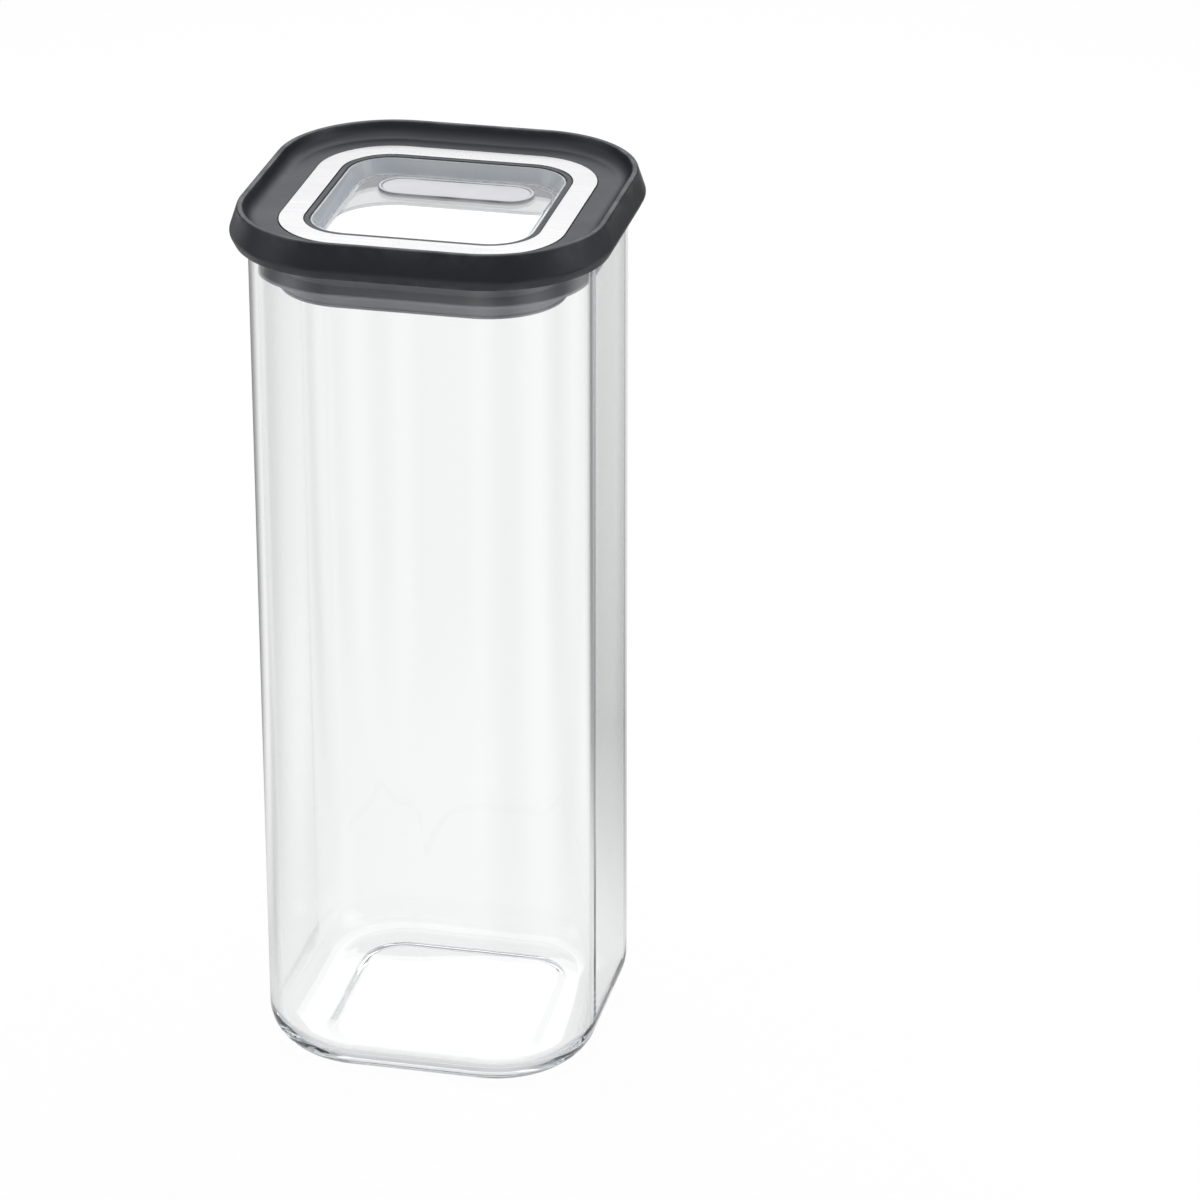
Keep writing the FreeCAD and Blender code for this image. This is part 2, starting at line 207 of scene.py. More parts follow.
@dataclass
class SectionModel:
    """A piece drawn as one section and carried round a rounded square.

    Attributes:
        name: The piece's name.
        corners: The section's corners in order.
        closed: False where the section's two ends are capped instead.
        piece: The object, once it is drawn.
        fewest_steps: Steps of the smallest arcs.
        most_steps: Steps of the largest arcs.
        steps_per_mm: Steps that each millimetre of radius adds.
    """

    name: str
    corners: list[Corner]
    closed: bool = True
    piece: Piece | None = None
    fewest_steps: int = 4
    most_steps: int = 16
    steps_per_mm: float = 1.2

    def draw(self) -> None:
        """Extrude one point along the section's corners."""
        first = self.corners[0].place()
        self.piece = start_piece(self.name, MM, first)
        bpy.ops.mesh.merge(type="CENTER")
        for start, end in zip(self.corners, self.corners[1:]):
            step = end.place() - start.place()
            bpy.ops.mesh.extrude_vertices_move(TRANSFORM_OT_translate={"value": step})
        if self.closed:
            bpy.ops.mesh.select_all(action="SELECT")
            bpy.ops.mesh.edge_face_add()

    def soften(self) -> None:
        """Bevel each corner that has a radius into an arc."""
        count = len(self.corners)
        for index, corner in enumerate(self.corners):
            if not corner.radius:
                continue
            spot = corner.place()
            before = self.corners[index - 1].place() - spot
            after = self.corners[(index + 1) % count].place() - spot
            reach = corner.radius * MM / math.tan(before.angle(after) / 2)
            pick_points(self.piece, lambda point: (point - spot).length < PICK_DISTANCE)
            round_points(reach, self.arc_steps(corner.radius))
        if self.closed:
            bpy.ops.mesh.select_all(action="SELECT")
            bpy.ops.mesh.delete(type="ONLY_FACE")

    def arc_steps(self, radius: float) -> int:
        """Give the number of steps that keeps an arc of this radius smooth."""
        return min(self.most_steps, round(self.fewest_steps + self.steps_per_mm * radius))

    def carry_round(self) -> None:
        """Extrude the section along each side and spin it round each corner."""
        bpy.ops.mesh.select_all(action="SELECT")
        for quarter in range(SIDES):
            sine = math.sin(quarter * QUARTER)
            cosine = math.cos(quarter * QUARTER)
            side = Vector((-sine, cosine, 0.0)) * 2 * CORNER_CENTRE * MM
            bpy.ops.mesh.extrude_region_move(TRANSFORM_OT_translate={"value": side})
            centre = Vector((cosine - sine, sine + cosine, 0.0)) * CORNER_CENTRE * MM
            bpy.ops.mesh.spin(
                steps=CORNER_STEPS, angle=-QUARTER, center=centre, axis=(0.0, 0.0, 1.0)
            )
        bpy.ops.mesh.select_all(action="SELECT")
        bpy.ops.mesh.remove_doubles(threshold=MERGE_DISTANCE)

    def cap(self, end: Corner) -> None:
        """Fill the open loop at one end of the section.

        Args:
            end: The section's first or last corner.
        """

        def on_loop(point: Vector) -> bool:
            """Tell whether a point lies on the loop."""
            level = abs(point.z - end.up * MM) < PICK_DISTANCE
            return level and abs(half_width(point) - end.out) * MM < PICK_DISTANCE

        pick_points(self.piece, on_loop)
        bpy.ops.mesh.edge_face_add()

    def mark_rubbed(self, spread: float) -> None:
        """Store how near each point is to a rubbed edge.

        Args:
            spread: Distance in millimetres over which the rubbing fades.
        """
        spots = [(corner.out, corner.up) for corner in self.corners if corner.rubbed]
        mesh = self.piece.data
        shares = []
        for vert in mesh.vertices:
            here = (half_width(vert.co), vert.co.z / MM)
            nearest = min((math.dist(here, spot) for spot in spots), default=spread)
            shares.append(max(0.0, 1.0 - nearest / spread))
        layer = mesh.attributes.new(RUB_LAYER, "FLOAT", "POINT")
        layer.data.foreach_set("value", shares)

    def build(self, rub_spread: float = 1.6) -> Piece:
        """Model the piece from its section.

        Args:
            rub_spread: Distance in millimetres over which rubbing fades.

        Returns:
            The finished object.
        """
        self.draw()
        self.soften()
        self.carry_round()
        if not self.closed:
            self.cap(self.corners[0])
            self.cap(self.corners[-1])
        close_piece(self.piece)
        self.mark_rubbed(rub_spread)
        return self.piece


class Blend(Enum):
    """What a mix node mixes: its data type, its two inputs and its output."""

    VALUE = ("FLOAT", 2, 3, 0)
    COLOUR = ("RGBA", 6, 7, 2)


@dataclass
class Wiring:
    """Places and joins nodes in one node tree."""

    tree: bpy.types.NodeTree

    @classmethod
    def start(cls, owner: bpy.types.Material | bpy.types.World) -> "Wiring":
        """Give a material or a world an empty node tree.

        Args:
            owner: The material or world.

        Returns:
            The wiring of its tree.
        """
        owner.use_nodes = True
        owner.node_tree.nodes.clear()
        return cls(owner.node_tree)

    def add(self, kind: str, **settings: object) -> Node:
        """Add a node.

        Args:
            kind: The node's type name.
            **settings: Properties to set on it.

        Returns:
            The new node.
        """
        node = self.tree.nodes.new(kind)
        for name, value in settings.items():
            setattr(node, name, value)
        return node

    def join(self, source: Socket, target: Socket) -> None:
        """Link one socket to another."""
        self.tree.links.new(source, target)

    def feed(self, target: Socket, value: object) -> None:
        """Link a socket to an input, or set a plain value on it.

        Args:
            target: The input.
            value: A socket, or a plain value.
        """
        if isinstance(value, Socket):
            self.join(value, target)
        else:
            target.default_value = value

    def fill(self, node: Node, values: dict[str, object]) -> None:
        """Feed several inputs of a node.

        Args:
            node: The node.
            values: Sockets or plain values, by the inputs' names.
        """
        for name, value in values.items():
            self.feed(node.inputs[name], value)

    def spot(self) -> Socket:
        """Give the piece's own coordinates."""
        return self.add("ShaderNodeTexCoord").outputs["Object"]

    def noise(self, vector: Socket, scale: object = 1.0, detail: float = 2.0) -> Socket:
        """Add a noise pattern.

        Args:
            vector: Coordinates.
            scale: Cycles per metre, plain or linked, or 1 where the coordinates are stretched.
            detail: Octaves.

        Returns:
            The pattern's value.
        """
        node = self.add("ShaderNodeTexNoise")
        self.fill(node, {"Vector": vector, "Scale": scale, "Detail": detail})
        return node.outputs["Fac"]

    def stretch(self, vector: Socket, scale: Scales) -> Socket:
        """Scale coordinates by an amount on each axis.

        Args:
            vector: Coordinates.
            scale: The amounts.

        Returns:
            The scaled coordinates.
        """
        node = self.add("ShaderNodeMapping")
        self.fill(node, {"Vector": vector, "Scale": scale})
        return node.outputs["Vector"]

    def span(self, value: Socket, source: Span, target: Span, smooth: bool = False) -> Socket:
        """Map a range of values to another.

        Args:
            value: The value to map.
            source: The range it comes from.
            target: The range it goes to.
            smooth: True to ease both ends.

        Returns:
            The mapped value.
        """
        kind = "SMOOTHSTEP" if smooth else "LINEAR"
        node = self.add("ShaderNodeMapRange", interpolation_type=kind)
        self.join(value, node.inputs["Value"])
        for way, ends in (("From", source), ("To", target)):
            node.inputs[f"{way} Min"].default_value, node.inputs[f"{way} Max"].default_value = ends
        return node.outputs["Result"]

    def sum(self, kind: str, first: object, second: object = 0.0) -> Socket:
        """Join two values by a sum such as MULTIPLY, or change one by a sum such as COSINE.

        Args:
            kind: The sum's name.
            first: The first value, plain or linked.
            second: The second value, plain or linked.

        Returns:
            The result.
        """
        node = self.add("ShaderNodeMath", operation=kind)
        self.feed(node.inputs[0], first)
        self.feed(node.inputs[1], second)
        return node.outputs["Value"]

    def mix(self, blend: Blend, share: Socket, low: object, high: object) -> Socket:
        """Mix two colours or two values by a share.

        Args:
            blend: What is mixed.
            share: 0 for the first and 1 for the second.
            low: The first colour or value, plain or linked.
            high: The second colour or value, plain or linked.

        Returns:
            The mixture.
        """
        kind, first, second, result = blend.value
        node = self.add("ShaderNodeMix", data_type=kind)
        self.join(share, node.inputs[0])
        for place, part in ((first, low), (second, high)):
            self.feed(node.inputs[place], (*part, 1.0) if isinstance(part, tuple) else part)
        return node.outputs[result]

    def blend(self, share: Socket, low: object, high: object) -> Socket:
        """Mix two colours by a share."""
        return self.mix(Blend.COLOUR, share, low, high)

    def between(self, share: Socket, low: object, high: object) -> Socket:
        """Mix two values by a share."""
        return self.mix(Blend.VALUE, share, low, high)

    def choose(self, share: object, first: Socket, second: Socket) -> Socket:
        """Mix two shaders by a share.

        Args:
            share: 0 for the first shader and 1 for the second, plain or linked.
            first: The first shader.
            second: The second shader.

        Returns:
            The mixed shader.
        """
        node = self.add("ShaderNodeMixShader")
        for place, part in enumerate((share, first, second)):
            self.feed(node.inputs[place], part)
        return node.outputs["Shader"]

    def split(self, vector: Socket) -> bpy.types.NodeOutputs:
        """Part a vector.

        Args:
            vector: The vector.

        Returns:
            The outputs X, Y and Z.
        """
        node = self.add("ShaderNodeSeparateXYZ")
        self.join(vector, node.inputs["Vector"])
        return node.outputs

    def bump(self, height: Socket, strength: float, depth: float) -> Socket:
        """Turn a height into a normal.

        Args:
            height: The height pattern.
            strength: Share of the bump that shows.
            depth: Height of a full step in millimetres.

        Returns:
            The normal.
        """
        node = self.add("ShaderNodeBump")
        self.fill(node, {"Height": height, "Strength": strength, "Distance": depth * MM})
        return node.outputs["Normal"]

    def group(self, tree: bpy.types.NodeTree, **values: object) -> Node:
        """Place a node group and give it its inputs.

        Args:
            tree: The group.
            **values: Inputs, with spaces in their names written as underscores.

        Returns:
            The group node.
        """
        node = self.add("ShaderNodeGroup", node_tree=tree)
        self.fill(node, {name.replace("_", " "): value for name, value in values.items()})
        return node


class Effects:
    """Surface effects that several finishes share, each made once as a node group.

    Scales are in cycles per metre, and a range is the part of a noise pattern that shows.
    """

    GRAIN_DETAIL = 3.0
    MOTTLE_DETAIL = 4.0
    PATCH_SCALE = 160.0
    PATCH_DETAIL = 3.0
    PATCH_RANGE = (0.38, 0.66)
    EDGE_POWER = 2.0
    SMEAR_DETAIL = 3.0
    SMEAR_RANGE = (0.5, 0.75)
    HAIRLINE_SCALES = (60.0, 2200.0, 700.0)
    HAIRLINE_DETAIL = 1.0
    HAIRLINE_RANGE = (0.68, 0.8)

    @staticmethod
    def start(name: str, values: list[str], results: list[str]) -> tuple[Wiring, Node, Node]:
        """Open a new group, whose first input is the coordinates.

        Args:
            name: The group's name.
            values: Names of its other inputs.
            results: Names of its outputs.

        Returns:
            The wiring, the node that holds the inputs and the one that holds the outputs.
        """
        tree = bpy.data.node_groups.new(name, "ShaderNodeTree")
        tree.interface.new_socket("Vector", in_out="INPUT", socket_type="NodeSocketVector")
        for way, titles in (("INPUT", values), ("OUTPUT", results)):
            for title in titles:
                tree.interface.new_socket(title, in_out=way, socket_type="NodeSocketFloat")
        wiring = Wiring(tree)
        return wiring, wiring.add("NodeGroupInput"), wiring.add("NodeGroupOutput")

    @staticmethod
    @cache
    def moulded_grain() -> bpy.types.NodeTree:
        """Make fine tool-mark grain, with a slow change of tone.

        Returns:
            The group, with outputs Height and Tone.
        """
        names = ["Grain", "Mottle"]
        wiring, entry, leave = Effects.start("moulded_grain", names, ["Height", "Tone"])
        spot = entry.outputs["Vector"]
        fine = wiring.noise(spot, entry.outputs["Grain"], Effects.GRAIN_DETAIL)
        slow = wiring.noise(spot, entry.outputs["Mottle"], Effects.MOTTLE_DETAIL)
        wiring.fill(leave, {"Height": fine, "Tone": wiring.span(slow, NOISE_RANGE, UNIT)})
        return wiring.tree

    @staticmethod
    @cache
    def rubbed_edge() -> bpy.types.NodeTree:
        """Make edges polished by handling, broken up so that they are not even.

        Returns:
            The group, with an output Mask.
        """
        wiring, entry, leave = Effects.start("rubbed_edge", ["Rub"], ["Mask"])
        patches = wiring.noise(entry.outputs["Vector"], Effects.PATCH_SCALE, Effects.PATCH_DETAIL)
        worn = wiring.span(patches, Effects.PATCH_RANGE, UNIT, smooth=True)
        edge = wiring.sum("POWER", entry.outputs["Rub"], Effects.EDGE_POWER)
        wiring.join(wiring.sum("MULTIPLY", edge, worn), leave.inputs["Mask"])
        return wiring.tree

    @staticmethod
    @cache
    def handling_marks() -> bpy.types.NodeTree:
        """Make faint smears and hairlines left by wiping.

        Returns:
            The group, with outputs Smear and Hairline.
        """
        results = ["Smear", "Hairline"]
        wiring, entry, leave = Effects.start("handling_marks", ["Smear Scale"], results)
        spot = entry.outputs["Vector"]
        smear = wiring.noise(spot, entry.outputs["Smear Scale"], Effects.SMEAR_DETAIL)
        drawn = wiring.stretch(spot, Effects.HAIRLINE_SCALES)
        lines = wiring.noise(drawn, detail=Effects.HAIRLINE_DETAIL)
        wiring.join(wiring.span(smear, Effects.SMEAR_RANGE, UNIT), leave.inputs["Smear"])
        wiring.join(wiring.span(lines, Effects.HAIRLINE_RANGE, UNIT), leave.inputs["Hairline"])
        return wiring.tree


@dataclass(frozen=True)
class Finish(ABC):
    """A surface finish with a name of its own."""

    name: str

    @abstractmethod
    def material(self) -> bpy.types.Material:
        """Make the material."""

    def open(self) -> tuple[bpy.types.Material, Wiring, Node]:
        """Start the material.

        Returns:
            The material, its wiring and its Principled shader.
        """
        material = bpy.data.materials.new(self.name)
        wiring = Wiring.start(material)
        shader = wiring.add("ShaderNodeBsdfPrincipled")
        output = wiring.add("ShaderNodeOutputMaterial")
        wiring.join(shader.outputs["BSDF"], output.inputs["Surface"])
        return material, wiring, shader

    @staticmethod
    def rubbed(wiring: Wiring, spot: Socket) -> Socket:
        """Find the edges of a piece that are polished by handling.

        Args:
            wiring: The material's wiring.
            spot: The piece's own coordinates.

        Returns:
            The mask.
        """
        rub = wiring.add("ShaderNodeAttribute", attribute_name=RUB_LAYER).outputs["Fac"]
        return wiring.group(Effects.rubbed_edge(), Vector=spot, Rub=rub).outputs["Mask"]


@dataclass(frozen=True)
class Moulding(Finish):
    """Opaque or milky moulded plastic or rubber.

    Attributes:
        tone: Main colour.
        mottle: Colour of the slow variation.
        roughness: Lowest and highest roughness.
        grain: Grain cycles per metre.
        mottling: Cycles per metre of the slow variation.
        relief: Share of the grain that shows.
        depth: Grain depth in millimetres.
        rub: Colour of polished edges.
        rub_roughness: Roughness of polished edges.
        scatter: Share of light that scatters below the surface.
        scatter_reach: How far it scatters, in millimetres.
        shine: Specular level.
        shine_tint: Colour of the shine.
    """

    tone: Colour
    mottle: Colour
    roughness: Span
    grain: float = 2600.0
    mottling: float = 70.0
    relief: float = 0.5
    depth: float = 0.012
    rub: Colour = (0.05, 0.05, 0.055)
    rub_roughness: float = 0.24
    scatter: float = 0.0
    scatter_reach: float = 1.0
    shine: float = 0.5
    shine_tint: Colour = EVEN

    def material(self) -> bpy.types.Material:
        """Make the material.

        Returns:
            The material.
        """
        material, wiring, shader = self.open()
        spot = wiring.spot()
        grain = wiring.group(
            Effects.moulded_grain(), Vector=spot, Grain=self.grain, Mottle=self.mottling
        ).outputs
        edge = self.rubbed(wiring, spot)
        body = wiring.blend(grain["Tone"], self.tone, self.mottle)
        dull = wiring.span(grain["Tone"], UNIT, self.roughness)
        drop = wiring.span(edge, UNIT, (1.0, self.rub_roughness / self.roughness[0]))
        values = {
            "Base Color": wiring.blend(edge, body, self.rub),
            "Roughness": wiring.sum("MULTIPLY", dull, drop),
            "Normal": wiring.bump(grain["Height"], self.relief, self.depth),
            "Specular IOR Level": self.shine,
            "Specular Tint": (*self.shine_tint, 1.0),
        }
        if self.scatter:
            values["Subsurface Weight"] = self.scatter
            values["Subsurface Radius"] = EVEN
            values["Subsurface Scale"] = self.scatter_reach * MM
        wiring.fill(shader, values)
        return material


@dataclass(frozen=True)
class Steel(Finish):
    """Sheet steel brushed in one direction before it was cut.

    Attributes:
        bright: Colour between the scratches.
        dark: Colour in the scratches.
        roughness: Lowest and highest roughness.
        fine: Cycles per metre of the fine scratches, on each axis.
        fine_detail: Octaves of the fine scratches.
        broad: Cycles per metre of the broad bands, on each axis.
        streaks: Range of the scratches over which the roughness rises.
        smears: Cycles per metre of wiped smears.
        film: Roughness that a smear adds.
        relief: Share of the scratches that shows.
        depth: Depth of a scratch in millimetres.
    """

    bright: Colour = (0.64, 0.64, 0.648)
    dark: Colour = (0.55, 0.55, 0.56)
    roughness: Span = (0.22, 0.36)
    fine: Scales = (24.0, 5200.0, 800.0)
    fine_detail: float = 3.0
    broad: Scales = (9.0, 900.0, 200.0)
    streaks: Span = (0.0, 0.6)
    smears: float = 55.0
    film: float = 0.06
    relief: float = 0.35
    depth: float = 0.004

    def material(self) -> bpy.types.Material:
        """Make the material.

        Returns:
            The material.
        """
        material, wiring, shader = self.open()
        spot = wiring.spot()
        fine = wiring.noise(wiring.stretch(spot, self.fine), detail=self.fine_detail)
        broad = wiring.noise(wiring.stretch(spot, self.broad))
        streak = wiring.sum("MULTIPLY", wiring.span(fine, NOISE_RANGE, UNIT), broad)
        marks = wiring.group(Effects.handling_marks(), Vector=spot, Smear_Scale=self.smears)
        sheet = wiring.blend(streak, self.bright, self.dark)
        dull = wiring.span(streak, self.streaks, self.roughness)
        film = wiring.span(marks.outputs["Smear"], UNIT, (0.0, self.film))
        values = {
            "Base Color": wiring.blend(self.rubbed(wiring, spot), sheet, self.bright),
            "Roughness": wiring.sum("ADD", dull, film),
            "Normal": wiring.bump(fine, self.relief, self.depth),
            "Metallic": 1.0,
        }
        wiring.fill(shader, values)
        return material


@dataclass(frozen=True)
class Clear(Finish):
    """Clear glass or clear plastic that lets lamps through.

    Attributes:
        bend: Index of refraction.
        stain: Colour that thick material turns light to.
        density: How quickly it does, per metre.
        film: Highest roughness of wiped smears.
        wave: Cycles per metre of the slow unevenness of the surface.
        wave_depth: Depth of that unevenness in millimetres.
        wave_detail: Octaves of that unevenness.
        drawn: Share of the unevenness on each axis, least along the drawn walls.
        smears: Cycles per metre of wiped smears.
    """

    bend: float
    stain: Colour
    density: float
    film: float
    wave: float
    wave_depth: float
    wave_detail: float = 1.0
    drawn: Scales = (1.0, 1.0, 0.25)
    smears: float = 30.0

    def material(self) -> bpy.types.Material:
        """Make the material.

        Returns:
            The material.
        """
        material, wiring, shader = self.open()
        spot = wiring.spot()
        marks = wiring.group(
            Effects.handling_marks(), Vector=spot, Smear_Scale=self.smears
        ).outputs
        smear = wiring.sum("MAXIMUM", marks["Smear"], marks["Hairline"])
        wave = wiring.noise(wiring.stretch(spot, self.drawn), self.wave, self.wave_detail)
        values = {
            "Base Color": (*EVEN, 1.0),
            "Roughness": wiring.span(smear, UNIT, (0.0, self.film)),
            "Normal": wiring.bump(wave, 1.0, self.wave_depth),
            "Transmission Weight": 1.0,
            "IOR": self.bend,
        }
        wiring.fill(shader, values)
        absorb = wiring.add("ShaderNodeVolumeAbsorption")
        wiring.fill(absorb, {"Color": (*self.stain, 1.0), "Density": self.density})
        lamps = wiring.add("ShaderNodeLightPath").outputs["Is Shadow Ray"]
        through = wiring.add("ShaderNodeBsdfTransparent")
        choice = wiring.choose(lamps, shader.outputs["BSDF"], through.outputs["BSDF"])
        output = next(node for node in wiring.tree.nodes if node.type == "OUTPUT_MATERIAL")
        wiring.fill(output, {"Surface": choice, "Volume": absorb.outputs["Volume"]})
        return material


@dataclass(frozen=True)
class Frosted(Finish):
    """Frosted film that takes a pencil, half clear, with painted shade lines along the steps of its
    border, broken up in patches.

    Attributes:
        tone: Main colour.
        mottle: Colour of the slow variation.
        painted_shade_tone: Colour of the shade painted along the border's steps.
        clear: Share of light that passes through.
        bend: Index of refraction.
        roughness: Lowest and highest roughness.
        grain: Grain cycles per metre.
        mottling: Cycles per metre of the slow variation.
        relief: Share of the grain that shows.
        depth: Grain depth in millimetres.
        middle: Distance of the film's long axis from the lid's axis, in millimetres.
        straight: Half the length of the film's straight sides, in millimetres.
        steps: Distances of the border's steps from the long axis, in millimetres.
        line: Half width of a painted shade line, in millimetres.
        patches: Cycles per metre of the patches that break up the painted shade.
        patch_range: Range of the patches' pattern that shows.
        least_painted_shade: Share of the painted shade that is left between the patches.
    """

    tone: Colour = (0.83, 0.83, 0.875)
    mottle: Colour = (0.89, 0.89, 0.925)
    # Painted shade: a dark tone laid along the border's steps where shade falls.
    painted_shade_tone: Colour = (0.30, 0.30, 0.35)
    clear: float = 0.2
    bend: float = 1.46
    roughness: Span = (0.42, 0.58)
    grain: float = 4200.0
    mottling: float = 120.0
    relief: float = 0.6
    depth: float = 0.01
    middle: float = 19.5
    straight: float = 16.0
    steps: Span = (5.95, 6.95)
    line: float = 0.42
    patches: float = 90.0
    patch_range: Span = (0.35, 0.65)
    least_painted_shade: float = 0.35

    def painted_step_shade(self, wiring: Wiring, spot: Socket) -> Socket:
        """Find where shade is painted along the border's steps, by distance from the film's long
        axis.

        Args:
            wiring: The material's wiring.
            spot: The piece's own coordinates.

        Returns:
            The mask.
        """
        parts = wiring.split(spot)
        along = wiring.sum("SUBTRACT", wiring.sum("ABSOLUTE", parts["X"]), self.straight * MM)
        past = wiring.sum("MAXIMUM", along)
        off = wiring.sum("SUBTRACT", parts["Y"], self.middle * MM)
        squares = [wiring.sum("MULTIPLY", part, part) for part in (past, off)]
        reach = wiring.sum("SQRT", wiring.sum("ADD", *squares))
        masks = []
        for step in self.steps:
            gap = wiring.sum("ABSOLUTE", wiring.sum("SUBTRACT", reach, step * MM))
            masks.append(wiring.span(gap, (0.0, self.line * MM), (1.0, 0.0), smooth=True))
        patches = wiring.noise(spot, self.patches)
        left = wiring.span(patches, self.patch_range, (self.least_painted_shade, 1.0))
        return wiring.sum("MULTIPLY", wiring.sum("MAXIMUM", *masks), left)

    def material(self) -> bpy.types.Material:
        """Make the material.

        Returns:
            The material.
        """
        material, wiring, shader = self.open()
        spot = wiring.spot()
        grain = wiring.group(
            Effects.moulded_grain(), Vector=spot, Grain=self.grain, Mottle=self.mottling
        ).outputs
        film = wiring.blend(grain["Tone"], self.tone, self.mottle)
        values = {
            # Painted shade lines along the border's steps, broken up in patches, darken the film's
            # colour.
            "Base Color": wiring.blend(self.painted_step_shade(wiring, spot), film, self.painted_shade_tone),
            "Roughness": wiring.span(grain["Height"], NOISE_RANGE, self.roughness),
            "Normal": wiring.bump(grain["Height"], self.relief, self.depth),
            "Transmission Weight": self.clear,
            "IOR": self.bend,
        }
        wiring.fill(shader, values)
        return material


JAR_GLASS = Clear(
    "jar_glass",
    bend=1.47,
    stain=(0.58, 0.70, 0.78),
    density=7.0,
    film=0.012,
    wave=26.0,
    wave_depth=0.02,
)
WINDOW_PLASTIC = Clear(
    "window_plastic",
    bend=1.49,
    stain=(0.60, 0.70, 0.80),
    density=20.0,
    film=0.02,
    wave=60.0,
    wave_depth=0.006,
)
JOINT_FROST = Moulding(
    "frosted_joint",
    (0.80, 0.85, 0.90),
    (0.88, 0.91, 0.94),
    (0.45, 0.6),
    grain=1600.0,
    depth=0.02,
    rub=(0.88, 0.91, 0.94),
)
BLACK_PLASTIC = Moulding(
    "satin_black_plastic",
    (0.0050, 0.0048, 0.0085),
    (0.0070, 0.0068, 0.0112),
    (0.42, 0.50),
    shine=0.7,
    shine_tint=(0.88, 0.93, 1.0),
)
STEEL_SHEET = Steel("brushed_steel_sheet")
FROSTED_FILM = Frosted("frosted_writing_film")
SMOKE_SILICONE = Moulding(
    "smoke_grey_silicone",
    (0.36, 0.37, 0.405),
    (0.41, 0.42, 0.455),
    (0.28, 0.38),
    grain=1500.0,
    depth=0.008,
    rub=(0.45, 0.46, 0.49),
    scatter=0.25,
    scatter_reach=0.8,
)
MILKY_PLASTIC = Moulding(
    "milky_plastic",
    (0.84, 0.845, 0.86),
    (0.88, 0.885, 0.90),
    (0.34, 0.44),
    grain=1800.0,
    depth=0.008,
    rub=(0.90, 0.905, 0.915),
    scatter=0.5,
    scatter_reach=2.0,
)
GASKET_RUBBER = Moulding(
    "gasket_rubber",
    (0.74, 0.76, 0.79),
    (0.80, 0.82, 0.84),
    (0.5, 0.65),
    grain=1200.0,
    depth=0.015,
)


def place_piece(piece: Piece, finish: Finish, mover: Mover, node: str) -> None:
    """Give a finished piece its surface, its body and the solid that it stands for.

    Args:
        piece: The finished object.
        finish: The finish, which makes the material.
        mover: The body that the piece rides on.
        node: The solid that the piece replaces.
    """
    piece.data.materials.clear()
    piece.data.materials.append(finish.material())
    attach(piece, mover.value)
    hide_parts(node)
    LOG.info("%s: %d faces, stands for %s", piece.name, len(piece.data.polygons), node)


@dataclass
class GlassJar:
    """Tall square jar of clear glass with a thick base and a fire-polished mouth.

    Widths are half widths, and heights are above the jar's foot, in millimetres.
    """

    half: float = 50.0
    height: float = 258.0
    wall: float = 2.4
    base: float = 4.0
    foot_round: float = 12.0
    heel_round: float = 9.0
    foot_inner: float = 33.0
    push_up: float = 0.8
    push_up_run: float = 3.0
    push_up_round: float = 4.0
    crown_panel: float = 26.0
    mouth_round: float = 1.0
    floor_panel: float = 34.0
    finish: Clear = JAR_GLASS

    def section(self) -> list[Corner]:
        """List the corners from the crown of the push-up, over the mouth, to the floor.

        Returns:
            The corners in order.
        """
        inside = self.half - self.wall
        return [
            Corner(self.crown_panel, self.push_up),
            Corner(self.foot_inner - self.push_up_run, self.push_up, self.push_up_round),
            Corner(self.foot_inner, 0.0, self.push_up_round),
            Corner(self.half, 0.0, self.foot_round),
            Corner(self.half, self.height, self.mouth_round),
            Corner(inside, self.height, self.mouth_round),
            Corner(inside, self.base, self.heel_round),
            Corner(self.floor_panel, self.base),
        ]

    def build(self) -> Piece:
        """Model the jar."""
        return SectionModel("jar_body", self.section(), closed=False).build()

    def dress(self, piece: Piece) -> None:
        """Finish the jar and set it in the frame."""
        place_piece(piece, self.finish, Mover.JAR, "glass_jar")


